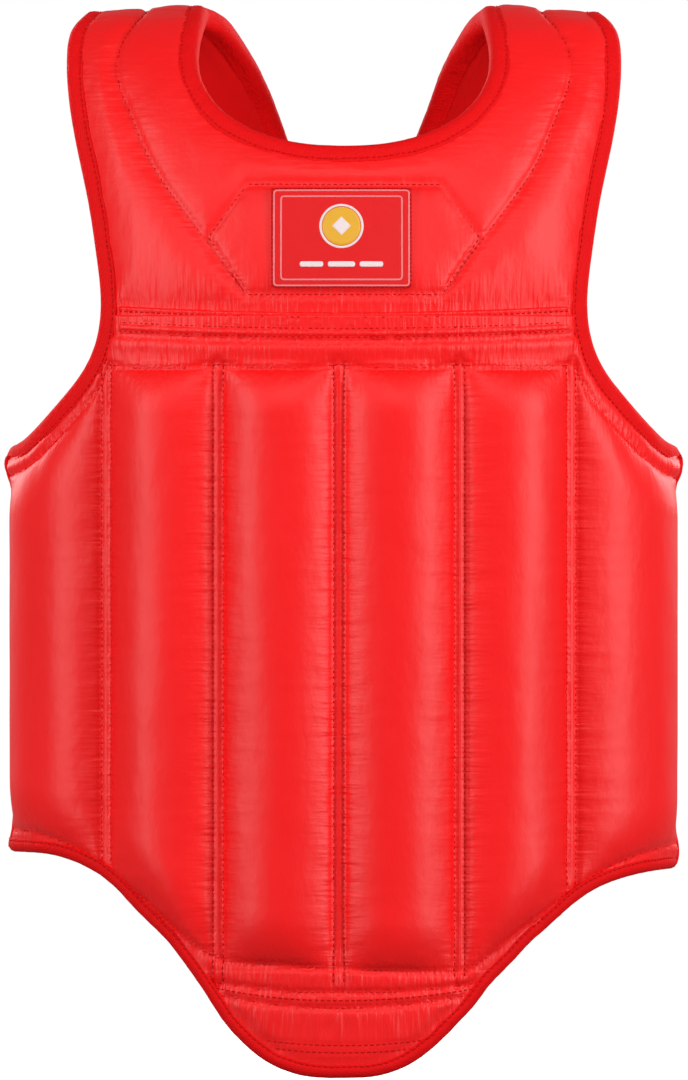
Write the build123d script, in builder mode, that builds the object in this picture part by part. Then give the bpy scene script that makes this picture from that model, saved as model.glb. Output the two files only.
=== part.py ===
"""Padded chest protector of the vest kind, for sanda and kick-boxing. Millimetres, +Z up, front facing -Y.

The origin is where the vest hangs: the middle of the shoulder line, at the height of the straps' undersides.
Layers are counted outward from the face that touches the wearer: lining, foam, cover.
"""

import os
from math import atan2, cos, degrees, hypot, radians, sin, sqrt

from build123d import *

# ---- driving dimensions ----------------------------------------------------------------------------------
FRONT_CENTRE_Y = 155.4  # centre of the wide arc across the chest, seen from above
SIDE_CENTRE_X = 110.0  # centres of the two arcs round the ribs
SIDE_R = 70.0  # inner face of the ribs' arcs
FRONT_R = hypot(SIDE_CENTRE_X, FRONT_CENTRE_Y) + SIDE_R  # tangent to the ribs' arcs
BLEND_ANGLE = degrees(atan2(SIDE_CENTRE_X, FRONT_CENTRE_Y))  # where the chest arc meets the rib arc
BACK_CENTRE_Y = -107.0  # centre of the arc across the back
BACK_R = 215.0  # inner face of the back leaf
YOKE_Z = -162.0  # the level seam between the yoke and the torso
HEM_Z = -533.5  # where the torso ends above the lower flap
BACK_HEM_Z = -392.0
SPLIT = 0.3  # half the slit on the shoulder line between the front and the back straps

# ---- layers: levels at the torso, and at the shoulder crest where the padding is thickest -----------------
CLEAR = 0.1  # between one layer and the next
SKIN = 1.0  # cover, lining and tapes
FRONT_BASE, FRONT_CREST = 6.0, 14.0  # whole thickness of the front at the yoke seam and at the crest
BACK_BASE = 9.0  # whole thickness of the back leaf
BAR_EDGE, BAR_TOP = 7.0, 19.0  # level of a foam bar at its edges and along its middle
BAR_TOP_Z, BAR_BOTTOM_Z = -187.0, -522.0
SEAMS = (0.0, 14.7, 29.4)  # directions of the upright seams, degrees from straight ahead
SEAM_HALF = 0.65  # half the width of a stitched seam strip, degrees
SIDE_END = 88.0  # direction where the front panel ends at the ribs
SIDE_BARE = 5.0  # between the side bar and the panel's end, degrees
CHEST_TOP_Z = -74.0  # where the chest's foam ends and the straps' foams start
BACK_STRAP_Z = -118.0  # where the back straps' foams meet the back leaf's upper foam

# ---- tapes, flap, belts ---------------------------------------------------------------------------------
TAPE_WIDTH = 9.5
SIDE_TAPE = 4.0  # the tape along the panel's side edge, in degrees round the ribs
SIDE_TAPE_LOW_Z, SIDE_TAPE_HIGH_Z = -449.0, -258.0
BAND_HALF = 10.0  # half the height of the band over the yoke seam
BAND_ANGLE, BAND_REACH = 60.0, 125.0  # how far the band is made round the chest, and where it is trimmed in X
FLAP_TOP_Z, FLAP_TIP_Z = -538.5, -585.0
BELT_LOW_Z, BELT_HIGH_Z = -370.0, -285.0
BELT_R, BELT_T = 227.0, 2.5  # inner radius round the back, thickness
BELT_SIDE_R = BELT_R - hypot(SIDE_CENTRE_X, BACK_CENTRE_Y)
BELT_BLEND = degrees(atan2(-BACK_CENTRE_Y, SIDE_CENTRE_X))  # where a belt's rib arc meets its back arc
TAB_SEAM = 73.7  # direction, from +X, of the seam between a belt and its grip tab
TAB_END = 88.7
PATCH_MARGIN = 8.0  # from a belt's edge to its grip patches
LOOP_START = 71.0  # direction, from +X, where a loop patch starts
HOOK_T, HOOK_SHORTER = 1.5, 1.5  # a hook patch's depth under its tab, and how much shorter it is, in degrees

# ---- chest emblem -----------------------------------------------------------------------------------------
EMBLEM_Z = -116.0
BADGE_W, BADGE_H = 78.0, 56.0
FRAME_INSET, FRAME_LINE = 3.0, 2.0  # from the badge's edge to its frame, and the frame's width
ROUNDEL_R, ROUNDEL_RISE = 14.0, 5.0
BADGE_BAR_W, BADGE_BAR_H, BADGE_BAR_DROP = 44.0, 5.0, 16.0
EMBLEM_T = 0.8  # each layer of the emblem
REACH = 200.0  # half the depth of a cutting prism


def front_point(angle, level):
    """A point of the front's plan curve: degrees from straight ahead, and a level above the inner face."""
    a = radians(angle)
    if abs(angle) <= BLEND_ANGLE:
        return ((FRONT_R + level) * sin(a), FRONT_CENTRE_Y - (FRONT_R + level) * cos(a))
    side = SIDE_CENTRE_X if angle > 0 else -SIDE_CENTRE_X
    return (side + (SIDE_R + level) * sin(a), -(SIDE_R + level) * cos(a))


def front_arcs(level, start, end):
    """The front's plan curve between two directions, as arcs in the current BuildLine."""
    low, high = sorted((start, end))
    stops = [low] + [b for b in (-BLEND_ANGLE, BLEND_ANGLE) if low < b < high] + [high]
    for a, b in zip(stops, stops[1:]):
        middle = (a + b) / 2
        centre, r = ((0, FRONT_CENTRE_Y), FRONT_R)
        if abs(middle) > BLEND_ANGLE:
            centre, r = ((SIDE_CENTRE_X if middle > 0 else -SIDE_CENTRE_X, 0), SIDE_R)
        CenterArc(centre, r + level, a - 90, b - a)


def front_wall(low, high, z0, z1, start=-SIDE_END, end=SIDE_END):
    """The part of the torso's wall between two levels, two heights and two directions."""
    with BuildPart() as wall:
        with BuildSketch(Plane.XY.offset(z0)):
            with BuildLine():
                front_arcs(high, start, end)
                Line(front_point(end, high), front_point(end, low))
                front_arcs(low, start, end)
                Line(front_point(start, low), front_point(start, high))
            make_face()
        extrude(amount=z1 - z0)
    return wall.part


def ring_wall(centre, r0, r1, start, size, z0, z1):
    """A piece of an upright round wall between two radii."""
    with BuildPart() as wall:
        with BuildSketch(Plane.XY.offset(z0)):
            with BuildLine():
                outer = CenterArc(centre, r1, start, size)
                inner = CenterArc(centre, r0, start, size)
                Line(outer @ 0, inner @ 0)
                Line(outer @ 1, inner @ 1)
            make_face()
        extrude(amount=z1 - z0)
    return wall.part


def back_wall(low, high, z0=BACK_HEM_Z - 5, z1=YOKE_Z):
    """The back leaf's upright part between two levels."""
    return ring_wall((0, BACK_CENTRE_Y), BACK_R + low, BACK_R + high, 40, 100, z0, z1)


def arch(low, high, back=False):
    """The shoulder arch above the yoke seam, between two (torso, crest) pairs of levels.

    Each upright section, at one x, is the band between two quarter ellipses from the yoke seam to the crest.
    """
    sign = 1 if back else -1
    reach = (150.0, 100.0, 50.0, 0.0) if back else (166.0, 110.0, 55.0, 0.0)
    with BuildPart() as shell:
        for x in [-r for r in reach] + [r for r in reversed(reach[:-1])]:
            depth = sqrt(FRONT_R**2 - x**2) - FRONT_CENTRE_Y
            if back:
                depth = sqrt(BACK_R**2 - x**2) + BACK_CENTRE_Y
            with BuildSketch(Plane((x, 0, YOKE_Z), x_dir=(0, sign, 0), z_dir=(sign, 0, 0))):
                with BuildLine():
                    outer = EllipticalCenterArc((0, 0), depth + high[0], high[1] - YOKE_Z, arc_size=90)
                    inner = EllipticalCenterArc((0, 0), depth + low[0], low[1] - YOKE_Z, arc_size=90)
                    Line(outer @ 0, inner @ 0)
                    Line(outer @ 1, inner @ 1)
                make_face()
        loft()
    return shell.part


def front_outline():
    """The front's outline seen from the front. It runs above the crest and past the ribs."""
    with BuildSketch(Plane.XZ) as outline:
        with BuildLine():
            neck = ((79, 12), (84.5, -12), (71.5, -40), (36, -59.5), (0, -64.4))
            edge = Spline(*neck, tangents=[(0.3, -1), (-1, 0)])
            Line((79, 60), edge @ 0)
            Line((79, 60), (144, 60))
            Line((144, 60), (144, 14))
            arm = Spline(
                (144, 14), (155, -20), (143, -93), (135.5, -155), (148.4, -194), (180, -228.5), (204, -244)
            )
            Line(arm @ 1, (204, -461))
            hem = Spline((204, -461), (175, -462), (146, -474.5), (114, -497), (90, -521), (81, HEM_Z))
            Line(hem @ 1, (0, HEM_Z))
            mirror(about=Plane.YZ)
        make_face()
    return outline.sketch


def back_outline():
    """The back leaf's outline: a deep U at the neck, straps that draw together, a straight lower leaf."""
    with BuildSketch(Plane.XZ) as outline:
        with BuildLine():
            neck = ((79, 14), (57, -5), (40, -37.5), (30, -68), (16, -100), (0, -112))
            edge = Spline(*neck, tangents=[(-1, -0.5), (-1, 0)])
            Line((79, 60), edge @ 0)
            Line((79, 60), (144, 60))
            Line((144, 60), (144, 14))
            arm = Spline((144, 14), (134, -20), (118, -70), (102, -120), (92, -175), (88, -250))
            Line(arm @ 1, (88, BACK_HEM_Z + 25))
            corner = TangentArc((88, BACK_HEM_Z + 25), (63, BACK_HEM_Z), tangent=(0, -1))
            Line(corner @ 1, (0, BACK_HEM_Z))
            mirror(about=Plane.YZ)
        make_face()
    return outline.sketch


def prism(sketch, back=None):
    """A cutting prism along Y from a sketch: all through, or only in front of or behind the shoulder line."""
    with BuildPart() as cut:
        if back is None:
            extrude(sketch, amount=REACH, both=True)
        else:
            extrude(Pos(0, SPLIT if back else -SPLIT, 0) * sketch, amount=-REACH if back else REACH)
    return cut.part


def flap_outline():
    """The lower flap: a rounded tab below the torso's hem."""
    with BuildSketch(Plane.XZ) as outline:
        with BuildLine():
            edge = ((79, FLAP_TOP_Z), (66, -553), (40, -575), (0, FLAP_TIP_Z))
            side = Spline(*edge, tangents=[(-0.5, -1), (-1, 0)])
            Line(side @ 0, (0, FLAP_TOP_Z))
            mirror(about=Plane.YZ)
        make_face()
    return outline.sketch


def strip(points, width, back=False):
    """The prism of a tape from the points of its outer edge. It lies to the left of the way they run."""
    with BuildSketch(Plane.XZ) as tape:
        with BuildLine():
            outer = Spline(*points)
            steps = [i / (4 * len(points)) for i in range(4 * len(points) + 1)]
            inner = Spline(*[outer @ t + (outer % t).rotate(Axis.Z, 90) * width for t in steps])
            Line(outer @ 0, inner @ 0)
            Line(outer @ 1, inner @ 1)
        make_face()
    return prism(tape.sketch, back)


def both_sides(points):
    """A line of points that ends on the middle plane, followed by its mirror image."""
    return [*points, *((-x, z) for x, z in reversed(points[:-1]))]


def block(x0, x1, z0, z1):
    """An upright box right through in Y, to pick a region of the vest."""
    with BuildPart() as box:
        with Locations(((x0 + x1) / 2, 0, (z0 + z1) / 2)):
            Box(x1 - x0, 2 * REACH, z1 - z0)
    return box.part


def keep(shapes, *cuts, cut_away=()):
    """The shapes joined, then cut to every prism in cuts, less everything in cut_away."""
    with BuildPart() as piece:
        for shape in shapes:
            add(shape)
        for cut in cuts:
            add(cut, mode=Mode.INTERSECT)
        for cut in cut_away:
            add(cut, mode=Mode.SUBTRACT)
    return piece.part


def save(name, part):
    """Label a finished piece and write it under its own name."""
    part.label = name
    export_step(part, f"parts/{name}.step")


def bar_limits(grow=0.0):
    """The prism that the foam bars stay inside, about 14 mm in from the torso's outline."""
    with BuildPart() as cut:
        with BuildSketch(Plane.XZ):
            with BuildLine():
                armhole = ((126, BAR_TOP_Z), (134, -209), (169, -243), (230, -268))
                hem = ((230, -445), (178, -445), (142, -458), (112, -480), (84, -511), (72, BAR_BOTTOM_Z))
                Polyline((0, BAR_TOP_Z), *armhole, *hem, (0, BAR_BOTTOM_Z))
                mirror(about=Plane.YZ)
            make_face()
            if grow:
                offset(amount=grow, kind=Kind.INTERSECTION, mode=Mode.REPLACE)
        extrude(amount=REACH)
    return cut.part


def bar_solid(start, end, grow):
    """A foam bar between two directions, or the same bar grown all round. It is fullest along its middle."""
    spread = degrees(grow / (SIDE_R + 6))
    start, end = start - spread, end + spread
    middle, half = (start + end) / 2, (end - start) / 2
    inner = 6 + CLEAR - grow
    crown = [
        front_point(middle + half * i / 4, BAR_EDGE + (BAR_TOP - BAR_EDGE) * (1 - (i / 4) ** 2) ** 0.6 + grow)
        for i in range(-4, 5)
    ]
    with BuildPart() as bar:
        with BuildSketch(Plane.XY.offset(BAR_BOTTOM_Z - 20)):
            with BuildLine():
                Spline(*crown)
                Line(crown[0], front_point(start, inner))
                front_arcs(inner, start, end)
                Line(front_point(end, inner), crown[-1])
            make_face()
        extrude(amount=BAR_TOP_Z - BAR_BOTTOM_Z + 40)
        add(bar_limits(grow), mode=Mode.INTERSECT)
    return bar.part


os.makedirs("parts", exist_ok=True)

# ---- cutting prisms --------------------------------------------------------------------------------------
front_full = prism(front_outline(), back=False)
back_full = prism(back_outline(), back=True)
above_yoke = block(-REACH, REACH, YOKE_Z + CLEAR, 40)

# ---- torso: lining, base foam, six foam bars, cover -------------------------------------------------------
save("torso_lining", keep([front_wall(0, SKIN, HEM_Z, YOKE_Z)], front_full))
save("torso_base_foam", keep([front_wall(SKIN + CLEAR, 5 - CLEAR, HEM_Z, YOKE_Z)], front_full))

edges = [SIDE_BARE - SIDE_END, *(-s for s in reversed(SEAMS)), *SEAMS[1:], SIDE_END - SIDE_BARE]
names = ("side_right", "outer_right", "inner_right", "inner_left", "outer_left", "side_left")
covers, hollows = [], []
for name, start, end in zip(names, edges, edges[1:]):
    first, last = start + 2 * SEAM_HALF, end - 2 * SEAM_HALF
    save(f"foam_bar_{name}", bar_solid(first, last, 0))
    hollows.append(bar_solid(first, last, CLEAR))
    covers.append(bar_solid(first, last, CLEAR + SKIN))
save("torso_cover", keep([front_wall(5, 6, HEM_Z, YOKE_Z), *covers], front_full, cut_away=hollows))

# ---- yoke: lining, chest foam and two strap foams, cover --------------------------------------------------
left_half = block(CLEAR, REACH + 10, -REACH * 4, REACH)
right_half = block(-REACH - 10, -CLEAR, -REACH * 4, REACH)
above_chest = block(-REACH, REACH, CHEST_TOP_Z + CLEAR, 40)
foam_low = (SKIN + CLEAR, SKIN + CLEAR)
foam_high = (FRONT_BASE - SKIN - CLEAR, FRONT_CREST - SKIN - CLEAR)
yoke_foam = keep([arch(foam_low, foam_high)], front_full)
save("yoke_lining", keep([arch((0, 0), (SKIN, SKIN))], front_full, above_yoke))
save("chest_foam", keep([yoke_foam], block(-REACH, REACH, YOKE_Z + CLEAR, CHEST_TOP_Z)))
save("strap_foam_left", keep([yoke_foam], above_chest, left_half))
save("strap_foam_right", keep([yoke_foam], above_chest, right_half))
yoke_cover = arch((FRONT_BASE - SKIN, FRONT_CREST - SKIN), (FRONT_BASE, FRONT_CREST))
save("yoke_cover", keep([yoke_cover], front_full, above_yoke))

# ---- tapes and the chest emblem, on top of the covers -----------------------------------------------------
TAPE_LEVEL = FRONT_BASE + CLEAR
yoke_tape = arch((TAPE_LEVEL, FRONT_CREST + CLEAR), (TAPE_LEVEL + SKIN, FRONT_CREST + CLEAR + SKIN))
torso_tape = front_wall(TAPE_LEVEL, TAPE_LEVEL + SKIN, HEM_Z, YOKE_Z)
front_tape = [yoke_tape, torso_tape]
neck_edge = [(77, 25), (79, 12), (84.5, -12), (71.5, -40), (36, -59.5), (0, -64.4)]
arm_edge = [(139, 30), (144, 14), (155, -20), (143, -93), (135.5, -155), (148.4, -194), (180, -228.5)]
arm_edge += [(204, -244)]
hem_edge = [(204, -461), (175, -462), (146, -474.5), (114, -497), (90, -521), (81, HEM_Z)]
save("neck_binding", keep([yoke_tape], strip(both_sides(neck_edge), TAPE_WIDTH)))
for name, edge in (("armhole_binding", arm_edge[::-1]), ("hem_binding", hem_edge[::-1])):
    piece = keep(front_tape if edge[0][1] > -300 else [torso_tape], strip(edge, TAPE_WIDTH))
    save(f"{name}_left", piece)
    save(f"{name}_right", mirror(piece, about=Plane.YZ))
band_inner, band_outer = TAPE_LEVEL + 0.2, TAPE_LEVEL + 0.2 + SKIN
band_low, band_high = YOKE_Z - BAND_HALF, YOKE_Z + BAND_HALF
band_wall = front_wall(band_inner, band_outer, band_low, band_high, -BAND_ANGLE, BAND_ANGLE)
save("yoke_band", keep([band_wall], block(-BAND_REACH, BAND_REACH, band_low, band_high)))
side_tape = (TAPE_LEVEL, TAPE_LEVEL + SKIN, SIDE_TAPE_LOW_Z, SIDE_TAPE_HIGH_Z)
save("side_tape_left", front_wall(*side_tape, SIDE_END - SIDE_TAPE, SIDE_END))
save("side_tape_right", front_wall(*side_tape, -SIDE_END, SIDE_TAPE - SIDE_END))


def emblem_layer(sketch, rise):
    """A thin patch on the chest: the sketch's outline, rise above the yoke's cover."""
    low, high = rise, rise + EMBLEM_T
    skin = arch((FRONT_BASE + low, FRONT_CREST + low), (FRONT_BASE + high, FRONT_CREST + high))
    return keep([skin], prism(sketch, back=False))


with BuildSketch(Plane.XZ) as chest_panel:
    with BuildLine():
        Polyline((0, -85), (54, -85), (76, -115), (55, -147), (0, -147))
        mirror(about=Plane.YZ)
    make_face()
with BuildSketch(Plane.XZ) as badge:
    with Locations((0, EMBLEM_Z)):
        RectangleRounded(BADGE_W, BADGE_H, 2)
with BuildSketch(Plane.XZ) as badge_frame:
    with Locations((0, EMBLEM_Z)):
        inset = 2 * FRAME_INSET
        within = inset + 2 * FRAME_LINE
        RectangleRounded(BADGE_W - inset, BADGE_H - inset, 2)
        RectangleRounded(BADGE_W - within, BADGE_H - within, 1.5, mode=Mode.SUBTRACT)
with BuildSketch(Plane.XZ) as badge_roundel:
    with Locations((0, EMBLEM_Z + ROUNDEL_RISE)):
        Circle(ROUNDEL_R)
with BuildSketch(Plane.XZ) as badge_bar:
    with Locations((0, EMBLEM_Z - BADGE_BAR_DROP)):
        RectangleRounded(BADGE_BAR_W, BADGE_BAR_H, 1)
save("chest_panel", emblem_layer(chest_panel.sketch, CLEAR))
save("badge", emblem_layer(badge.sketch, CLEAR + 0.9))
save("badge_frame", emblem_layer(badge_frame.sketch, CLEAR + 1.8))
save("badge_roundel", emblem_layer(badge_roundel.sketch, CLEAR + 1.8))
save("badge_bar", emblem_layer(badge_bar.sketch, CLEAR + 1.8))

# ---- lower flap -------------------------------------------------------------------------------------------
flap_full = prism(flap_outline(), back=False)
flap_wall = block(-REACH, REACH, FLAP_TIP_Z - 5, FLAP_TOP_Z)
save("flap_lining", keep([front_wall(0, SKIN, FLAP_TIP_Z - 5, FLAP_TOP_Z)], flap_full))
save("flap_foam", keep([front_wall(SKIN + CLEAR, 5 - CLEAR, FLAP_TIP_Z - 5, FLAP_TOP_Z)], flap_full))
save("flap_cover", keep([front_wall(5, 6, FLAP_TIP_Z - 5, FLAP_TOP_Z)], flap_full))
flap_tape = front_wall(TAPE_LEVEL, TAPE_LEVEL + SKIN, FLAP_TIP_Z - 5, FLAP_TOP_Z)
flap_edge = [(77.5, FLAP_TOP_Z - 0.2), (66, -553), (40, -575), (0, FLAP_TIP_Z)]
save("flap_binding", keep([flap_tape], strip(both_sides(flap_edge)[::-1], 8)))

# ---- back leaf --------------------------------------------------------------------------------------------
BACK_CREST = FRONT_CREST
above_back = block(-REACH, REACH, BACK_STRAP_Z + CLEAR, 40)
foam_high = (BACK_BASE - SKIN - CLEAR, BACK_CREST - SKIN - CLEAR)
save("back_lining", keep([back_wall(0, SKIN)], back_full))
save("back_strap_lining", keep([arch((0, 0), (SKIN, SKIN), back=True)], back_full, above_yoke))
upper_foam = keep([arch(foam_low, foam_high, back=True)], back_full)
save("back_foam", keep([back_wall(foam_low[0], foam_high[0])], back_full))
save("back_upper_foam", keep([upper_foam], block(-REACH, REACH, YOKE_Z + CLEAR, BACK_STRAP_Z)))
save("back_strap_foam_left", keep([upper_foam], above_back, left_half))
save("back_strap_foam_right", keep([upper_foam], above_back, right_half))
save("back_cover", keep([back_wall(BACK_BASE - SKIN, BACK_BASE)], back_full))
upper_cover = arch((BACK_BASE - SKIN, BACK_CREST - SKIN), (BACK_BASE, BACK_CREST), back=True)
save("back_strap_cover", keep([upper_cover], back_full, above_yoke))
back_low = (BACK_BASE + CLEAR, BACK_CREST + CLEAR)
back_high = (BACK_BASE + CLEAR + SKIN, BACK_CREST + CLEAR + SKIN)
back_neck_edge = [(95, 26), (79, 14), (57, -5), (40, -37.5), (30, -68), (16, -100), (0, -112)]
back_side_edge = [(146, 30), (144, 14), (134, -20), (118, -70), (102, -120), (92, -175), (88, -250)]
back_side_edge += [(88, -340), (84, -378), (63, BACK_HEM_Z)]
upper_tape = arch(back_low, back_high, back=True)
back_tape = [upper_tape, back_wall(back_low[0], back_high[0])]
save("back_neck_binding", keep([upper_tape], strip(both_sides(back_neck_edge), TAPE_WIDTH, True)))
piece = keep(back_tape, strip(back_side_edge[::-1], TAPE_WIDTH, True))
save("back_edge_binding_left", piece)
save("back_edge_binding_right", mirror(piece, about=Plane.YZ))
back_hem = back_wall(back_low[0], back_high[0], BACK_HEM_Z, BACK_HEM_Z + TAPE_WIDTH)
save("back_hem_binding", keep([back_hem], block(-58, 58, BACK_HEM_Z, BACK_HEM_Z + TAPE_WIDTH)))

# ---- grip patches, belts and tabs, each made on the left (+X) and mirrored to the right -------------------
PATCH_LEVEL = BACK_BASE + CLEAR
PATCH_LOW_Z, PATCH_HIGH_Z = BELT_LOW_Z + PATCH_MARGIN, BELT_HIGH_Z - PATCH_MARGIN
BELT_START = 0.6  # degrees by which a belt starts ahead of the middle of the ribs
back_centre = (0, BACK_CENTRE_Y)

loop_r = BACK_R + PATCH_LEVEL
patch_heights = (PATCH_LOW_Z, PATCH_HIGH_Z)
loop_patch = ring_wall(back_centre, loop_r, loop_r + SKIN, LOOP_START, TAB_END - LOOP_START, *patch_heights)
with BuildPart() as belt_web:
    with BuildSketch(Plane.XY.offset(BELT_LOW_Z)):
        with BuildLine():
            faces = []
            for rise in (0, BELT_T):
                rib = CenterArc((SIDE_CENTRE_X, 0), BELT_SIDE_R + rise, -BELT_START, BELT_BLEND + BELT_START)
                round_back = CenterArc(back_centre, BELT_R + rise, BELT_BLEND, TAB_SEAM - 0.2 - BELT_BLEND)
                faces.append((rib @ 0, round_back @ 1))
            Line(faces[0][0], faces[1][0])
            Line(faces[0][1], faces[1][1])
        make_face()
    extrude(amount=BELT_HIGH_Z - BELT_LOW_Z)
belt = belt_web.part
tab = ring_wall(back_centre, BELT_R, BELT_R + BELT_T, TAB_SEAM, TAB_END - TAB_SEAM, BELT_LOW_Z, BELT_HIGH_Z)
hook_size = TAB_END - TAB_SEAM - HOOK_SHORTER
hook_patch = ring_wall(back_centre, BELT_R - HOOK_T, BELT_R - CLEAR, TAB_SEAM + 1, hook_size, *patch_heights)
for name, piece in (("loop_patch", loop_patch), ("belt", belt), ("tab", tab), ("hook_patch", hook_patch)):
    save(f"{name}_left", piece)
    save(f"{name}_right", mirror(piece, about=Plane.YZ))
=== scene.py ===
from math import atan2, cos, hypot, pi, radians, sin

import bpy
import numpy as np
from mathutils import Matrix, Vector


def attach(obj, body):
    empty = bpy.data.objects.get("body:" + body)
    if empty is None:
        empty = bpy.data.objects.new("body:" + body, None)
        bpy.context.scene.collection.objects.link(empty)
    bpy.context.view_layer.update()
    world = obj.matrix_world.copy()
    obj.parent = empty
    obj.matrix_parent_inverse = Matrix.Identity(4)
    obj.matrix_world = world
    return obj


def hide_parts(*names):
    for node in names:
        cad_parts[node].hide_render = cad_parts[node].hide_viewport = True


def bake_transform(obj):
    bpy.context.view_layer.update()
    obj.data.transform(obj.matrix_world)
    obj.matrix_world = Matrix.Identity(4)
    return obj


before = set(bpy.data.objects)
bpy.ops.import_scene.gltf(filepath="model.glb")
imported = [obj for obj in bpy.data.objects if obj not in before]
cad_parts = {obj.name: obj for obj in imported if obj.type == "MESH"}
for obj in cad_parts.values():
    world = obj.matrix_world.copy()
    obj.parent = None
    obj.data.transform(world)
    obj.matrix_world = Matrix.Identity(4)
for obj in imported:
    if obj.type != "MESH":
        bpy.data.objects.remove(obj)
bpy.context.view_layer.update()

MM = 0.001

# ---- the CAD's driving dimensions, in mm
FRONT_CY = 155.4  # centre of the front's plan arc, behind the origin
SIDE_CX = 110.0  # centres of the ribs' plan arcs, out from the middle
SIDE_R0 = 70.0  # inner radius at the ribs
FRONT_R0 = hypot(SIDE_CX, FRONT_CY) + SIDE_R0
BLEND = atan2(SIDE_CX, FRONT_CY)  # the angle at which the two arcs meet
OUT = 6.0  # the front's plain thickness at the torso
FR = FRONT_R0 + OUT
SR = SIDE_R0 + OUT
S_BLEND = FR * BLEND
S_END = S_BLEND + SR * (radians(88) - BLEND)  # from the middle round to a side edge
YOKE = -162.0  # height of the seam between torso and yoke
CREST = 14.0  # thickness over the shoulder
ARCH_H = 176.0  # rise of the shoulder arch over the yoke seam
ARCH_V = 190.0  # travel over the arch from the yoke seam to the crest
BACK_CY = -107.0  # centre of the back's plan arc
BACK_R0 = 215.0
BACK_OUT = 9.0  # the back leaf's thickness
BACK_HEM = -392.0
V_HEM = 2 * ARCH_V + (YOKE - BACK_HEM)

# ---- the vest as photographed, in mm
SHIFT = -2.9  # its seams sit this much to the wearer's right
SEAMS_X = [-130.6, -67.7, 0.0, 67.7, 130.6]
SEAM_LOW = [-466.0, -531.0, -534.0, -531.0, -480.0]  # lower end of each upright seam
SEAM_HALF = 2.9  # an upright seam is two rows, this far either side of its middle
TOP_LINE = -186.0  # where the padded channels start
TOP_SAG = 2.4  # how far each channel's top seam sags between the uprights
SIDE_CHANNEL = 140.0  # the outermost channels start this far from the middle seam
SIDE_STITCH = S_END - 5.5
ROLL_HIGH = 12.0  # the foam rolls' height over the plain face
SIDE_ROLL_HIGH = 8.5
ARM_CORNER = -241.0  # heights of the panel's side corners
HEM_CORNER = -458.0
UNDER_BAND = -174.0  # heights at which the cover is gathered
FLAP_TOP = -524.0
FLAP_MIDDLE = -554.0
BAND_LOW = -168.0
BAND_HIGH = -152.5
BAND_SAG = 4.5
BAND_HALF = 137.0
TAPE_WIDE = 9.5  # neck, armhole and back edge tapes
TAPE_HEM = 5.5
TAPE_SIDE = 5.0


# ---- numbers
def spline(points, step=2.0):
    """A natural cubic spline through 2-D points, sampled about every step mm."""
    p = np.asarray(points, float)
    t = travel(p)
    n = len(t)
    a = np.eye(n)
    b = np.zeros_like(p)
    for i in range(1, n - 1):
        h0 = t[i] - t[i - 1]
        h1 = t[i + 1] - t[i]
        a[i, i - 1 : i + 2] = [h0, 2 * (h0 + h1), h1]
        b[i] = 6 * ((p[i + 1] - p[i]) / h1 - (p[i] - p[i - 1]) / h0)
    m = np.linalg.solve(a, b)
    s = np.linspace(0, t[-1], max(3, int(t[-1] / step) + 1))
    i = np.clip(np.searchsorted(t, s, side="right") - 1, 0, n - 2)
    h = (t[i + 1] - t[i])[:, None]
    u = (t[i + 1] - s)[:, None]
    w = (s - t[i])[:, None]
    bend = m[i] * u**3 / (6 * h) + m[i + 1] * w**3 / (6 * h)
    return bend + (p[i] / h - m[i] * h / 6) * u + (p[i + 1] / h - m[i + 1] * h / 6) * w


def travel(points):
    """The length along a line up to each of its points."""
    return np.concatenate([[0], np.cumsum(np.linalg.norm(np.diff(points, axis=0), axis=1))])


def sample(rows, lengths, at):
    """Rows known at some lengths along a line, read at others."""
    return np.stack([np.interp(at, lengths, column) for column in rows.T], 1)


def even(points, step):
    """The same line with points about every step mm."""
    p = np.asarray(points, float)
    d = travel(p)
    return sample(p, d, np.linspace(0, d[-1], max(2, int(round(d[-1] / step)) + 1)))


def mx(line):
    """A line in x and z mirrored to the other half."""
    return np.asarray(line) * [-1, 1]


def unit(v):
    return v / np.maximum(np.linalg.norm(v, axis=-1, keepdims=True), 1e-9)


def noise(x, y, seed=0):
    """Smooth value noise in about -1..1, one cell per unit."""
    xi = np.floor(x).astype(np.int64)
    yi = np.floor(y).astype(np.int64)
    fx, fy = (f * f * f * (f * (6 * f - 15) + 10) for f in (x - xi, y - yi))

    def corner(a, b):
        k = (a * 374761393 + b * 668265263 + seed * 2147483647) & 0xFFFFFFFF
        k = ((k ^ (k >> 13)) * 1274126177) & 0xFFFFFFFF
        return ((k ^ (k >> 16)) & 0xFFFF) / 32767.5 - 1

    low = corner(xi, yi) * (1 - fx) + corner(xi + 1, yi) * fx
    high = corner(xi, yi + 1) * (1 - fx) + corner(xi + 1, yi + 1) * fx
    return low * (1 - fy) + high * fy


def ridged(x, y, seed=0):
    """Noise with sharp creases, in about -1..1."""
    return 1 - 2 * np.abs(noise(x, y, seed)) ** 0.7


def step01(x):
    x = np.clip(x, 0, 1)
    return x * x * (3 - 2 * x)


def dome(d, w):
    """0 on a seam, rising steeply and then levelling off at 1 from w mm away."""
    return (1 - (1 - np.clip(d / w, 0, 1)) ** 2.2) ** (1 / 1.6)


def arc(d, w, p=0.9):
    """0 on a seam, rising along an arc to 1 at w mm: a soft roll held down at its edges."""
    return (1 - (1 - np.clip(d / w, 0, 1)) ** 2) ** p


def fade(d, reach):
    """1 on a seam, dying away with distance."""
    return np.exp(-d / reach)


def bell(d, high, half):
    """A rounded ridge, high mm tall, at distance 0."""
    return high * np.exp(-((d / half) ** 2))


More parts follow.
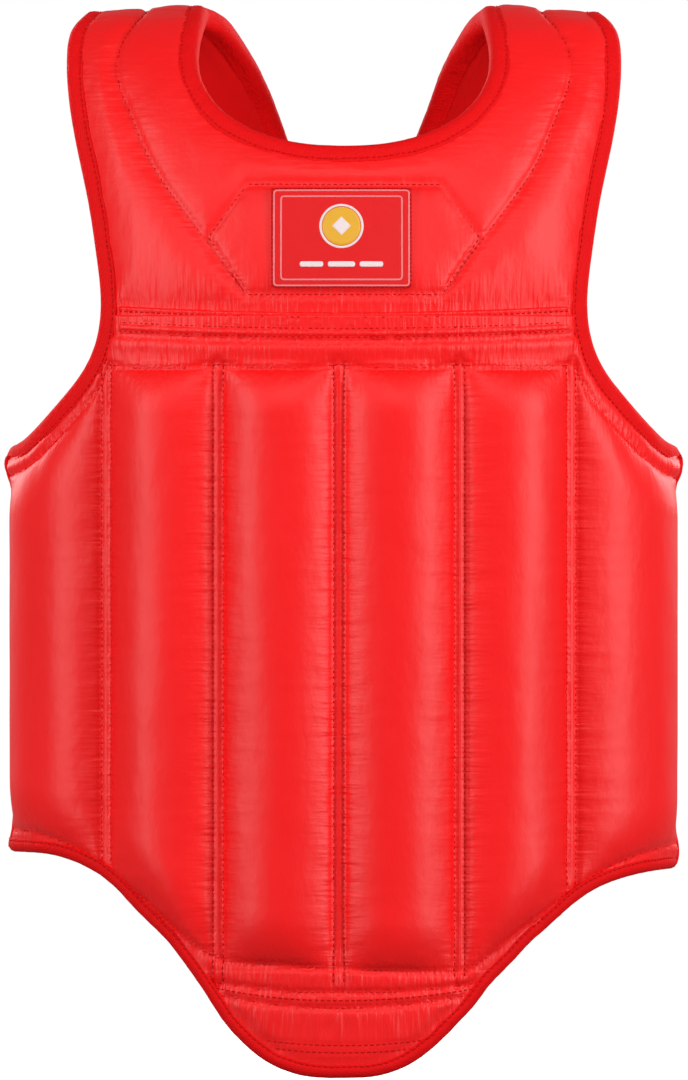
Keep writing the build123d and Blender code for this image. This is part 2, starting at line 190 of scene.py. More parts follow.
def near(points, line, chunk=4000):
    """The distance from each 3-D point to a 3-D line of points."""
    out = np.empty(len(points))
    a = line[:-1]
    d = np.diff(line, axis=0)
    dd = np.maximum((d * d).sum(1), 1e-9)
    for k in range(0, len(points), chunk):
        p = points[k : k + chunk, None, :]
        t = np.clip(((p - a) * d).sum(2) / dd, 0, 1)
        out[k : k + chunk] = np.sqrt((((p - a) - t[..., None] * d) ** 2).sum(2).min(1))
    return out


def nearest(p, lines):
    """The distance from each point to the nearest of several 3-D lines."""
    flat = p.reshape(-1, 3)
    return np.min([near(flat, line) for line in lines], 0).reshape(p.shape[:-1])


def inside(polygon, x, z):
    """Which points lie inside a closed polygon."""
    hit = np.zeros(x.shape, bool)
    for (a, b), (c, d) in zip(polygon, np.roll(polygon, -1, 0)):
        if b != d:
            hit ^= ((b > z) != (d > z)) & (x < (c - a) * (z - b) / (d - b) + a)
    return hit


# ---- surfaces: the torso in arc length s and height z, the arch and back in x and travel v
def s_of_x(x):
    x = np.asarray(x, float)
    ax = np.abs(x)
    a = np.arcsin(np.clip(ax / FR, 0, 1))
    b = np.arcsin(np.clip((ax - SIDE_CX) / SR, -1, 1))
    s = np.where(a <= BLEND, FR * a, S_BLEND + SR * (b - BLEND))
    return np.sign(x) * np.minimum(s, S_END)


def plan(s, level):
    """Plan position at arc length s, level mm out of the inner face."""
    s = np.asarray(s, float)
    t = np.abs(s)
    front = t <= S_BLEND
    a = np.where(front, t / FR, BLEND + (t - S_BLEND) / SR)
    x = np.where(front, (FRONT_R0 + level) * np.sin(a), SIDE_CX + (SIDE_R0 + level) * np.sin(a))
    y = np.where(front, FRONT_CY - (FRONT_R0 + level) * np.cos(a), -(SIDE_R0 + level) * np.cos(a))
    return np.sign(s) * x, y


def depth(x, back=False):
    """How far the plain front or back stands from the middle plane."""
    x = np.minimum(np.abs(x), 160)
    if back:
        return np.sqrt(BACK_R0**2 - x**2) + BACK_CY + BACK_OUT
    return np.sqrt(FR**2 - x**2) - FRONT_CY


def flare(s, z):
    """How far the panel's side corners stand out from the ribs, under the armholes and at the hem."""
    edge = step01((np.abs(s) - (S_END - 34)) / 34)
    return edge * (bell(z - ARM_CORNER, 4.5, 11) + bell(z - HEM_CORNER, 2.5, 10))


def torso_at(s, z, level=0.0):
    """A point of the torso; level counts from its outer face, and is negative inward."""
    x, y = plan(s, OUT + level + flare(s, z))
    return np.stack([x, y, np.broadcast_to(z, x.shape)], -1)


def torso_normal(s, z):
    return unit(torso_at(s, z, 1.0) - torso_at(s, z))


def turn_at(v):
    """The angle over the shoulder arch, 0 at the front yoke seam and pi at the back."""
    return np.clip(v / ARCH_V, 0, 2) * pi / 2


def arch_base(x, v):
    """The arch's plain outer face: v mm from the yoke seam, over the crest and down the back."""
    t = turn_at(v)
    y = np.where(t > pi / 2, depth(x, True), -depth(x)) * np.abs(np.cos(t))
    z = YOKE + ARCH_H * np.sin(t) - np.maximum(v - 2 * ARCH_V, 0) + np.minimum(v, 0)
    neck_side_rise = 3.2 * np.sin(t) ** 10 * step01((128 - np.abs(x)) / 45)
    return np.stack([x, y, z + neck_side_rise], -1)


def arch_normal(x, v):
    """The outward direction of the shoulder arch."""
    h = 0.7
    along_x = arch_base(x + h, v) - arch_base(x - h, v)
    along_v = arch_base(x, v + h) - arch_base(x, v - h)
    return unit(np.cross(along_x, along_v))


def arch_at(x, v, level=0.0):
    x, v = np.broadcast_arrays(np.asarray(x, float), np.asarray(v, float))
    return arch_base(x, v) + arch_normal(x, v) * np.asarray(level)[..., None]


def v_of(z, back=False):
    """Travel over the arch and back, from height."""
    z = np.asarray(z, float)
    t = np.arcsin(np.clip((z - YOKE) / ARCH_H, 0, 1)) / (pi / 2) * ARCH_V
    if not back:
        return t
    return np.where(z < YOKE, 2 * ARCH_V + (YOKE - z), 2 * ARCH_V - t)


def on_front(x, z, level=0.0):
    """A point of the front given as it is seen from the front, by x and height."""
    x, z = np.broadcast_arrays(np.asarray(x, float), np.asarray(z, float))
    return np.where((z < YOKE)[..., None], torso_at(s_of_x(x), z, level), arch_at(x, v_of(z), level))


def on_back(x, z, level=0.0):
    return arch_at(x, v_of(z, True), level)


# ---- outlines of the half at +X, in x and z; the right hem and the left back neck differ a little
NECK = spline(
    [(79, 14), (82.5, 2), (84.5, -12), (82, -26), (71.5, -42), (54, -54), (36, -60.5), (18, -63.6),
     (0, -64.4)]
)
ARM = spline(
    [(144, 14), (151.5, 5), (155, -12), (154, -35), (149, -65), (143, -93), (138, -125), (135.5, -152),
     (136.5, -165), (141, -181), (148.4, -194), (160, -208), (180, -228.5), (192, -238)]
)
HEM = spline(
    [(192, -466), (186, -466.5), (175, -467.5), (160, -470.5), (144, -476), (130, -484.5), (116, -496.5),
     (104, -507), (92, -519.5), (81.5, -530), (72.5, -541.5), (62, -553), (50, -564.5), (38, -573.5),
     (20, -580.5), (0, -582)]
)
HEM_R = spline(
    [(192, -456.5), (186, -457), (172, -457.5), (158, -460), (144, -465.5), (131, -474), (120, -485),
     (108, -497), (97, -508), (88.5, -519), (80.5, -530), (73, -541.5), (65, -553), (54, -564.5),
     (40.5, -574.5), (21, -581), (0, -582)]
)
BACK_NECK = spline(
    [(79, 14), (70, 11), (60.5, 1), (50.5, -15), (41.5, -36), (30, -68), (16, -100), (8, -109.5), (0, -112)]
)
BACK_NECK_LEFT = spline(
    [(79, 14), (74, 10.5), (66.5, 1), (58, -15), (50.5, -36), (37, -68), (18, -100), (9, -109.5), (0, -112)]
)
BACK_SIDE = spline(
    [(144, 14), (140, 2), (134, -20), (118, -70), (102, -120), (92, -175), (88, -250), (88, -340), (87, -366),
     (79.5, -384), (63, -391.5), (40, -392), (0, -392)]
)
OVER = [(79, 40), (144, 40)]  # closes a strap above the crest
BEYOND = 300  # closes the torso past its side edges
front_polygon = np.concatenate(
    [NECK[::-1], OVER, ARM, [(BEYOND, -238), (BEYOND, -466)], HEM, mx(HEM_R)[::-1],
     [(-BEYOND, -456.5), (-BEYOND, -238)], mx(ARM)[::-1], mx(OVER)[::-1], mx(NECK)]
)
back_polygon = np.concatenate(
    [BACK_NECK_LEFT[::-1], OVER, BACK_SIDE, mx(BACK_SIDE)[::-1], mx(OVER)[::-1], mx(BACK_NECK)]
)

# ---- seam lines
STRAP_SEAM = spline(
    [(111, 14), (121, 2), (127, -12), (126.5, -28), (120, -45), (109, -71), (95, -93), (79, -114.5),
     (55, -147.5)]
)
BACK_SEAM = spline([(111, 14), (103, -6), (88, -40), (70, -90), (60, -150), (57, -220), (57, -270)])
HEX = [(-54, -85), (54, -85), (76, -115), (55, -147), (-55, -147), (-76, -115), (-54, -85)]
LOW_LINE = spline(
    [(190, -454), (176, -457), (160, -462), (145, -469), (127, -480), (108, -494.5), (88, -510), (77, -519),
     (68, -525)]
)
LOW_LINE_R = spline(
    [(190, -446), (176, -447.5), (160, -452), (145, -459.5), (127, -472), (108, -488), (92, -503),
     (77, -514.5), (66, -519)]
)
LOW_MID = [(68, -525), (30, -524.4), (0, -523.3), (-30, -521.5), (-66, -519)]
FLAP_LINES = [
    spline([(76, -531), (45, -535), (0, -536.5), (-40, -535.3), (-76, -530)]),
    spline([(71, -538), (40, -542.5), (0, -545), (-40, -543), (-71, -538)]),
]
FLAP_ROWS = [
    spline([(73, -534.5), (40, -538.8), (0, -540.8), (-40, -539), (-73, -534)]),
    spline([(44, -563), (20, -565.3), (0, -565.8), (-20, -565.3), (-44, -563)]),
    spline([(39, -567.5), (20, -569.3), (0, -569.8), (-20, -569.3), (-39, -567.5)]),
]
SIDE_TOP = spline([(131, -186.5), (133.5, -193), (140, -205), (152, -219), (172, -240), (192, -252)])
SIDE_TOPS = [SIDE_TOP + [SHIFT / 2, 0], mx(SIDE_TOP) + [SHIFT / 2, 0]]
LOW_LINES = [LOW_LINE, mx(LOW_LINE_R), LOW_MID]
channel_polygon = np.concatenate(
    [[(-134, TOP_LINE), (129, TOP_LINE)], SIDE_TOP, [(BEYOND, -252), (BEYOND, -454)], LOW_LINE, LOW_MID,
     mx(LOW_LINE_R)[::-1], [(-BEYOND, -446), (-BEYOND, -252)], mx(SIDE_TOP)[::-1]]
)
strap_polygon = np.concatenate([STRAP_SEAM, mx(STRAP_SEAM)[::-1] + [2 * SHIFT, 0]])


def lift(line, back=False, step=3.0):
    """A line in x and z laid on the vest's face."""
    p = even(line, 0.4)
    return even(on_back(p[:, 0], p[:, 1]) if back else on_front(p[:, 0], p[:, 1]), step)


def both(half, back=False):
    return [lift(half, back, 4.0), lift(mx(half), back, 4.0)]


seam_s = [float(s_of_x(x + SHIFT)) for x in SEAMS_X]
side_tops = [lift(line) for line in SIDE_TOPS]
low_lines = [lift(line) for line in LOW_LINES]
flap_lines = [lift(line) for line in FLAP_LINES]
flap_rows = [lift(line) for line in FLAP_ROWS]
strap_seams = both(STRAP_SEAM) + both(BACK_SEAM, True)
hexagon = [lift(HEX, step=2.0)]
arm_edges = both(ARM[ARM[:, 1] < YOKE + 1])
hem_edges = [lift(HEM, step=4.0), lift(mx(HEM_R), step=4.0)]
front_edges = both(ARM[ARM[:, 1] > YOKE - 12]) + both(NECK)
back_edges = both(BACK_SIDE, True) + [lift(BACK_NECK_LEFT, True, 4.0), lift(mx(BACK_NECK), True, 4.0)]


# ---- how far the padding swells over the plain face
def channel_top(s):
    """The height of the stitch line over the channels, which sags between the uprights."""
    place = np.interp(s, seam_s, range(len(seam_s))) % 1
    return TOP_LINE - TOP_SAG * 4 * place * (1 - place)


def band_sag(x):
    return BAND_SAG * (1 - (np.minimum(np.abs(x), BAND_HALF) / BAND_HALF) ** 2)


def torso_swell(s, z):
    """The torso's level over its plain outer face, and how much its cover puckers each way."""
    p = torso_at(s, z)
    x = p[..., 0]
    ends = S_END - np.abs(s)
    arms = nearest(p, arm_edges)
    hem = nearest(p, hem_edges)
    edge = np.minimum.reduce([arms, hem, ends])
    seam = np.full(s.shape, np.inf)
    for u, bottom in zip(seam_s, SEAM_LOW):
        past_seam = np.maximum(np.maximum(z - TOP_LINE, bottom - z), 0)
        seam = np.minimum(seam, np.hypot(s - u, past_seam))
    past_top_line = 200 * (np.abs(x - SHIFT) > 131)
    top = np.minimum(np.abs(z - channel_top(s)) + past_top_line, nearest(p, side_tops))
    low = nearest(p, low_lines)
    hems = nearest(p, flap_lines)
    rows = nearest(p, flap_rows)
    side = np.abs(SIDE_STITCH - np.abs(s))
    within = inside(channel_polygon, x, z) & (np.abs(s) < SIDE_STITCH)
    body = np.maximum(seam - SEAM_HALF, 0)

    # the foam rolls inside the channels, the flatter cloth round them, and the sewn grooves
    high = np.where(np.abs(s - SHIFT) > SIDE_CHANNEL, SIDE_ROLL_HIGH, ROLL_HIGH)
    roll = high * arc(body, 31) * arc(top, 26, 0.75) * arc(low, 28, 0.75) * arc(side, 46, 0.8)
    roll += 0.4 * noise(s / 30, z / 90, 3) * step01(body / 25)
    roll += 0.2 * noise(s / 16, z / 30, 4) * step01(body / 18)
    flat = 1.6 * dome(np.minimum.reduce([np.maximum(edge - 8, 0), top, low, hems]), 9)
    h = np.where(within, roll, flat)
    for distance, deep, half in (
        (seam - SEAM_HALF, 1.55, 1.5), (top, 1.2, 1.4), (low, 1.1, 1.4), (hems, 1.1, 1.3), (side, 0.8, 1.3),
        (rows, 0.6, 1.2)
    ):
        h -= bell(distance, deep, half)
    fold = z - BAND_LOW + band_sag(x)
    h += bell(fold + 5.5, 0.9, 3.2) - bell(fold + 0.6, 1.4, 1.6)

    # gathers: across the uprights, down from the level seams, under the band and on the flap
    cross = np.minimum(np.minimum(top, low), hems)
    pull = 0.22 * fade(body, 5) * ridged(s / 18, z / 4.2, 5)
    pull += 0.4 * fade(body, 13) * ridged(s / 24, z / 9, 6)
    gather = 0.3 * fade(cross, 6) * ridged(s / 4.2, z / 16, 7)
    gather += 0.4 * fade(cross, 12) * ridged(s / 8, z / 24, 8)
    gather += 0.35 * fade(np.abs(z - UNDER_BAND), 9) * ridged(s / 4.4, z / 18, 9)
    gather += bell(z - FLAP_MIDDLE, 0.7, 7) * ridged(s / 6.5, z / 40, 10)
    h += (pull * step01(seam / 5) + gather) * np.where(within | (cross < 30), 1, 0.5)

    calm = np.minimum.reduce([step01((arms - 3.5) / 7), step01((hem - 0.8) / 5), step01((ends - 0.8) / 5)])
    across = fade(body, 6) * within * step01(seam / 3) + 0.5 * fade(side, 8)
    under_band = fade(np.maximum(-176 - z, 0), 7) * (z > -215)
    down = 0.9 * fade(cross, 6) + 0.8 * under_band + 0.55 * (z < FLAP_TOP)
    return h * calm - (1 - calm), pucker_marks(across, down, calm)


def thickness(v):
    """The plain arch's thickness, from the yoke over the crest to the back."""
    t = turn_at(v)
    low = np.where(t > pi / 2, BACK_OUT, OUT)
    return low * np.cos(t) ** 2 + CREST * np.sin(t) ** 2


def pinch(v):
    """How much the edge tape squeezes each face."""
    return 1.0 + 0.9 * np.sin(turn_at(v)) ** 2 + 0.6 * step01((v - ARCH_V) / 120)


def yoke_swell(x, v):
    """The yoke's, straps' and back's level over their plain outer face, and how much the cover puckers."""
    p = arch_base(x, v)
    z = p[..., 2]
    front = v < ARCH_V
    edge = np.where(front, nearest(p, front_edges), nearest(p, back_edges))
    strap = nearest(p, strap_seams)
    hexa = np.where(front, nearest(p, hexagon), 99.0)
    band = np.maximum(v - 7, 0)
    soft = np.maximum(edge - 9, 0)
    crest = np.sin(turn_at(v)) ** 6
    between_straps = inside(strap_polygon, x, z) | (inside(np.array(HEX), x, z) & front)

    strap_pad = (3.7 - 2.6 * crest) * arc(np.minimum.reduce([strap, soft, band]), 21)
    chest = (1.8 - 1.2 * crest) * arc(np.minimum.reduce([strap, soft, band, hexa]), 16)
    back = (4.0 - 3.0 * crest) * arc(np.minimum(soft, strap), 24)
    h = np.where(front, np.where(between_straps, chest, strap_pad), back)
    h -= bell(strap, 1.8, 1.9) + bell(hexa, 1.3, 1.5)

    # rumples all over, gathers over the band, and puckers along the seams and the edge
    along = (np.abs(x) * 0.5 + v * 0.86) / 3.2
    h += 0.7 * noise(x / 34, v / 45, 11) + 0.35 * noise(x / 13, v / 17, 12)
    gather = 0.25 * fade(band, 9) * ridged(x / 4.2, v / 20, 13)
    gather += 0.35 * fade(band, 20) * ridged(x / 8, v / 30, 14)
    h += gather * front
    h += 0.42 * fade(strap, 6) * noise(along, x / 20, 15) + 0.3 * fade(hexa, 5) * noise(x / 3, v / 12, 16)
    h += 0.3 * fade(soft, 7) * noise(x / 5 + v / 7, v / 5 - x / 7, 17)
    under_loops = 0.08 + 0.92 * step01((z + 280) / 50)
    h = h * np.where(front, 1.0, under_loops)

    calm = step01((edge - 3.5) / 7)
    h = h * calm - np.where(front, pinch(v), np.minimum(pinch(v), 1.6)) * (1 - calm)
    down = (0.9 * fade(band, 8) + 0.4 * fade(hexa, 4)) * front
    return h, pucker_marks(0.7 * fade(strap, 7) + 0.5 * fade(soft, 7), down, calm)


def pucker_marks(across, down, calm):
    """Mesh attributes that the cover's material reads."""
    return {"pull_across": np.clip(across, 0, 1) * calm, "pull_down": np.clip(down, 0, 1) * calm}


def band_at(x, v):
    """The band tape's height, level and distance from the armholes; its ends dive under their tapes."""
    t = (v - BAND_LOW) / (BAND_HIGH - BAND_LOW)
    z = v - band_sag(x)
    ridge = 1.5 + bell(t - 0.24, 0.9, 0.14) - bell(t - 0.1, 0.9, 0.05)
    ridge -= bell(t - 0.42, 0.6, 0.07) + bell(t - 0.82, 0.6, 0.07)
    ridge -= 1.2 * (1 - step01(np.minimum(t, 1 - t) / 0.07))
    ridge += 0.22 * ridged(x / 4.2, v / 14, 31) + 0.15 * ridged(x / 9, v / 14, 32)
    gap = nearest(on_front(x, z), arm_edges + front_edges)
    dive = step01((gap - 8.5) / 6)
    return z, ridge * dive - 0.9 * (1 - dive), gap


# ---- mesh builders
def mesh_object(name, verts, faces, mats, index=None, smooth=True):
    me = bpy.data.meshes.new(name)
    faces = faces if isinstance(faces, list) else faces.tolist()
    me.from_pydata((np.asarray(verts) * MM).tolist(), [], faces)
    for m in mats:
        me.materials.append(m)
    if index is not None:
        me.polygons.foreach_set("material_index", np.asarray(index, np.int32))
    me.polygons.foreach_set("use_smooth", np.full(len(me.polygons), smooth))
    me.update()
    ob = bpy.data.objects.new(name, me)
    bpy.context.scene.collection.objects.link(ob)
    return ob


def pad(name, outer, inner, mask, mats, marks=None):
    """A closed pad between two faces given on one grid, cut to the cells wholly in the mask."""
    nu, nv = mask.shape
    cell = mask[:-1, :-1] & mask[1:, :-1] & mask[1:, 1:] & mask[:-1, 1:]
    i, j = np.nonzero(cell)
    ids = np.arange(nu * nv).reshape(nu, nv)
    n = nu * nv
    quad = np.stack([ids[i, j], ids[i + 1, j], ids[i + 1, j + 1], ids[i, j + 1]], 1)
    faces = [quad, quad[:, ::-1] + n]
    around = np.pad(cell, 1)
    for di, dj, a, b in ((-1, 0, 3, 0), (1, 0, 1, 2), (0, -1, 0, 1), (0, 1, 2, 3)):
        rim = ~around[i + 1 + di, j + 1 + dj]
        p = quad[rim][:, a]
        q = quad[rim][:, b]
        faces.append(np.stack([q, p, p + n, q + n], 1))
    which = np.concatenate([np.full(len(f), k == 1) for k, f in enumerate(faces)]).astype(int)
    verts = np.concatenate([outer.reshape(-1, 3), inner.reshape(-1, 3)])
    used, back = np.unique(np.concatenate(faces), return_inverse=True)
    ob = mesh_object(name, verts[used], back.reshape(-1, 4), mats, which)
    for key, value in (marks or {}).items():
        both_faces = np.concatenate([np.ravel(value), np.zeros(n)]).astype(np.float32)
        ob.data.attributes.new(key, "FLOAT", "POINT").data.foreach_set("value", both_faces[used])
    return ob


def sweep(name, path, normal, inward, section, mat, closed=False):
    """A section of (inward, normal) points, one for each point of the path, carried along the path."""
    n, k = section.shape[:2]
    verts = path[:, None] + inward[:, None] * section[..., :1] + normal[:, None] * section[..., 1:]
    r, c = np.meshgrid(np.arange(n if closed else n - 1), np.arange(k), indexing="ij")
    r2 = (r + 1) % n
    c2 = (c + 1) % k
    faces = np.stack([r * k + c, r2 * k + c, r2 * k + c2, r * k + c2], -1).reshape(-1, 4).tolist()
    if not closed:
        faces += [list(range(k))[::-1], [(n - 1) * k + q for q in range(k)]]
    return mesh_object(name, verts.reshape(-1, 3), faces, [mat])


def flow(path, closed=False):
    """The direction of travel at each point of a path."""
    return unit(np.roll(path, -1, 0) - np.roll(path, 1, 0) if closed else np.gradient(path, axis=0))


# ---- materials
def srgb(*colour):
    """A linear colour from 0 to 255 screen values."""
    shares = (c / 255 for c in colour)
    return tuple(c / 12.92 if c <= 0.04 else ((c + 0.055) / 1.055) ** 2.4 for c in shares) + (1.0,)


class Nodes:
    """A material and short calls for its nodes."""

    def __init__(self, name, spec=0.3, sheen=0.0):
        self.mat = bpy.data.materials.new(name)
        self.mat.use_nodes = True
        self.t = self.mat.node_tree
        self.bsdf = self.t.nodes["Principled BSDF"]
        self.bsdf.inputs["Specular IOR Level"].default_value = spec
        self.bsdf.inputs["Sheen Weight"].default_value = sheen
        self.bsdf.inputs["Sheen Tint"].default_value = (1, 0.5, 0.5, 1)
        self.coord = self.t.nodes.new("ShaderNodeTexCoord").outputs["Object"]

    def add(self, kind, values=None, props=None):
        n = self.t.nodes.new("ShaderNode" + kind)
        for k, v in (props or {}).items():
            setattr(n, k, v)
        for k, v in (values or {}).items():
            n.inputs[k].default_value = v
        return n

    def scaled(self, x, y, z, turn=(0, 0, 0)):
        n = self.add("Mapping", {"Scale": (x, y, z), "Rotation": turn})
        self.t.links.new(self.coord, n.inputs["Vector"])
        return n.outputs["Vector"]

    def noise(self, vector, detail=2.0, rough=0.5):
        n = self.add("TexNoise", {"Scale": 1.0, "Detail": detail, "Roughness": rough})
        self.t.links.new(vector, n.inputs["Vector"])
        return n.outputs["Fac"]

    def math(self, op, a, b=0.0, c=0.0):
        n = self.add("Math", props={"operation": op})
        for k, v in enumerate((a, b, c)):
            if isinstance(v, (int, float)):
                n.inputs[k].default_value = v
            else:
                self.t.links.new(v, n.inputs[k])
        return n.outputs[0]

    def colour(self, fac, *stops):
        """The base colour, from a ramp of (position, colour) stops."""
        n = self.add("ValToRGB")
        elements = n.color_ramp.elements
        while len(elements) < len(stops):
            elements.new(0.5)
        for e, (position, colour) in zip(elements, stops):
            e.position = position
            e.color = colour
        self.t.links.new(fac, n.inputs["Fac"])
        self.t.links.new(n.outputs["Color"], self.bsdf.inputs["Base Color"])

    def roughness(self, fac, low, high):
        n = self.add("MapRange", {"To Min": low, "To Max": high})
        self.t.links.new(fac, n.inputs["Value"])
        self.t.links.new(n.outputs[0], self.bsdf.inputs["Roughness"])

    def bump(self, *layers):
        """Layers of (height, strength, distance in mm), the first the coarsest."""
        last = None
        for height, strength, distance in layers:
            n = self.add("Bump", {"Strength": strength, "Distance": distance * MM})
            self.t.links.new(height, n.inputs["Height"])
            if last is not None:
                self.t.links.new(last, n.inputs["Normal"])
            last = n.outputs["Normal"]
        self.t.links.new(last, self.bsdf.inputs["Normal"])


def weave(n, pitch, angle=0.0):
    """A plain weave's height, from crossed waves of the given pitch in mm."""
    k = 2 * pi / (pitch * MM)
    parts = n.add("SeparateXYZ")
    n.t.links.new(n.scaled(1, 1, 1, (0, angle, 0)), parts.inputs[0])
    across = n.math("ADD", parts.outputs["X"], parts.outputs["Y"])
    a = n.math("SINE", n.math("MULTIPLY", across, k))
    b = n.math("SINE", n.math("MULTIPLY", parts.outputs["Z"], k))
    return n.math("MULTIPLY_ADD", n.math("MULTIPLY", a, b), 0.5, 0.5)


def satin(name, deep, mid, light, rough=(0.41, 0.49), spec=0.4, pitch=0.55, sheen=0.02):
    """Shiny woven cloth that puckers where its mesh attributes say so."""
    n = Nodes(name, spec, sheen)
    n.bsdf.inputs["Sheen Roughness"].default_value = 0.35
    n.colour(n.noise(n.scaled(9, 9, 7), detail=3), (0.3, deep), (0.5, mid), (0.72, light))
    n.roughness(n.noise(n.scaled(60, 60, 25), detail=3), *rough)
    rumple = n.noise(n.scaled(75, 75, 45), detail=4, rough=0.55)
    fine = n.noise(n.scaled(900, 900, 160))
    puckers = []
    for mark, stretch in (("pull_across", (60, 60, 420)), ("pull_down", (430, 430, 50))):
        amount = n.add("Attribute", props={"attribute_name": mark}).outputs["Fac"]
        puckers.append((n.math("MULTIPLY", n.noise(n.scaled(*stretch), detail=1.5), amount), 1.0, 1.1))
    n.bump((rumple, 0.5, 1.2), *puckers, (fine, 0.18, 0.12), (weave(n, pitch), 0.22, 0.05))
    return n.mat


def woven(name, colour, low, pitch=1.1, rough=(0.5, 0.66), spec=0.25, fuzz=0.2):
    """Coarse ribbed tape, webbing or thread."""
    n = Nodes(name, spec)
    ribs = weave(n, pitch, 0.6)
    n.colour(ribs, (0.15, low), (0.75, colour))
    n.roughness(n.noise(n.scaled(120, 120, 120)), *rough)
    fibres = n.noise(n.scaled(620, 620, 620))
    n.bump((n.noise(n.scaled(160, 160, 160), detail=3), 0.4, 0.5), (fibres, fuzz, 0.4), (ribs, 0.5, 0.16))
    return n.mat


def pile(name, colour, low, scale):
    """Hook-and-loop tape."""
    n = Nodes(name, spec=0.1, sheen=0.2)
    v = n.add("TexVoronoi", {"Scale": scale})
    n.t.links.new(n.scaled(1, 1, 1), v.inputs["Vector"])
    n.colour(v.outputs["Distance"], (0.0, colour), (0.6, low))
    n.roughness(n.noise(n.scaled(300, 300, 300)), 0.75, 0.95)
    n.bump((v.outputs["Distance"], 0.9, 0.8))
    return n.mat


cover = satin("cover_satin", srgb(244, 8, 11), srgb(248, 10, 13), srgb(252, 12, 15))
lining = satin(
    "lining_cloth", srgb(222, 10, 13), srgb(232, 12, 16), srgb(240, 15, 19),
    rough=(0.5, 0.62), spec=0.2, pitch=0.8, sheen=0.05
)
tape = woven("edge_tape", srgb(242, 15, 19), srgb(216, 9, 12), rough=(0.6, 0.75), spec=0.1, fuzz=0.9)
thread = woven("stitch_thread", srgb(220, 13, 16), srgb(192, 8, 11), pitch=0.5, spec=0.1)
webbing = woven("belt_webbing", srgb(214, 18, 22), srgb(168, 9, 12), pitch=1.6)
loop_pile = pile("loop_pile", srgb(190, 18, 22), srgb(120, 6, 9), 900)
hook_face = pile("hook_face", srgb(60, 12, 14), srgb(25, 4, 5), 700)
badge_cloth = woven("badge_cloth", srgb(236, 22, 26), srgb(214, 14, 17), pitch=0.7)
white_thread = woven("white_thread", srgb(250, 240, 240), srgb(222, 188, 188), pitch=0.7)
pink_thread = woven("pink_thread", srgb(246, 150, 152), srgb(232, 96, 100), pitch=0.7)
gold_thread = woven(
    "gold_thread", srgb(244, 190, 44), srgb(214, 140, 20), pitch=0.7, rough=(0.3, 0.45), spec=0.5
)


# ---- the two pads and the band
def grid(us, vs):
    return np.meshgrid(us, vs, indexing="ij")


def torso_columns():
    """Arc lengths across the torso, closer together at the seams."""
    stops = [-S_END] + seam_s + [S_END]
    columns = []
    for a, b in zip(stops, stops[1:]):
        t = np.linspace(0, 1, int((b - a) / 2.05) + 1)[:-1]
        columns.append(a + (b - a) * (t - 0.09 * np.sin(4 * pi * t) / (2 * pi) - 0.055 * np.sin(2 * pi * t)))
    return np.concatenate(columns + [[S_END]])


def make_torso():
    """Torso and lower flap, from the yoke seam to the flap's tip."""
    s, z = grid(torso_columns(), np.arange(-587.0, YOKE + 4.0, 1.75))
    plain = torso_at(s, z)
    edge_gap = np.minimum(nearest(plain, arm_edges + hem_edges), S_END - np.abs(s))
    inner = -OUT + 1.0 - step01(edge_gap / 10) - 0.5 * noise(s / 25, z / 25, 21)
    swell, marks = torso_swell(s, z)
    mask = inside(front_polygon, plain[..., 0], z)
    return pad("torso_pad", torso_at(s, z, swell), torso_at(s, z, inner), mask, [cover, lining], marks)


def make_yoke():
    """Yoke, straps and back in one, over the shoulders."""
    x, v = grid(np.linspace(-156, 156, 170), np.linspace(-0.5, V_HEM + 1, 345))
    p = arch_base(x, v)
    front = v < ARCH_V
    mask = np.where(front, inside(front_polygon, x, p[..., 2]), inside(back_polygon, x, p[..., 2]))
    mask &= (np.abs(x) > 60) | (np.abs(v - ARCH_V) > 20)
    edge_gap = np.where(front, nearest(p, front_edges), nearest(p, back_edges))
    inner = -thickness(v) + pinch(v) * (1 - step01((edge_gap - 6) / 10)) - 0.5 * noise(x / 25, v / 25, 22)
    swell, marks = yoke_swell(x, v)
    return pad("yoke_and_back_pad", arch_at(x, v, swell), arch_at(x, v, inner), mask, [cover, lining], marks)


def make_band():
    """The stitched band over the yoke seam."""
    x, v = grid(np.linspace(-BAND_HALF, BAND_HALF, 300), np.linspace(BAND_LOW, BAND_HIGH, 26))
    z, level, gap = band_at(x, v)
    mask = inside(front_polygon, x, z) & (gap > 5.0)
    inner = on_front(x, z, np.full(x.shape, -1.5))
    return pad("yoke_band_tape", on_front(x, z, level), inner, mask, [cover], {"pull_down": np.ones(x.shape)})


torso = make_torso()
yoke = make_yoke()
band = make_band()


# ---- edge tapes
# across a tape: share of its width, height over the pinched pad, share of the waviness
TAPE_SHAPE = [
    (1, 0.15, 0), (0.97, 1.0, 0.6), (0.86, 1.25, 0.9), (0.76, 0.85, 0.3), (0.62, 1.3, 1), (0.35, 1.45, 1),
    (0.1, 1.15, 0.8)
]


def edge_frame(line, back=False):
    """Points, outward normals and travel over the arch, along an outline."""
    x, z = even(line, 0.4).T
    v = v_of(z, back)
    if back:
        return arch_at(x, v), arch_normal(x, v), v
    return on_front(x, z), np.where((z < YOKE)[:, None], torso_normal(s_of_x(x), z), arch_normal(x, v)), v


def resample(edges, step, closed=False):
    """Frames joined end to end, at even steps along their 3-D path, and the length at each step."""
    p, n, v = (np.concatenate(parts) for parts in zip(*edges))
    keep = np.concatenate([[True], np.linalg.norm(np.diff(p, axis=0), axis=1) > 1e-6])
    p, n, v = p[keep], n[keep], v[keep]
    d = travel(p)
    s = np.linspace(0, d[-1], int(d[-1] / step) + 1)
    if closed:
        s = s[:-1]
    return sample(p, d, s), unit(sample(n, d, s)), np.interp(s, d, v), s


def smooth_dirs(a):
    for _ in range(3):
        a = a.copy()
        a[1:-1] = (a[:-2] + 2 * a[1:-1] + a[2:]) / 4
    return unit(a)


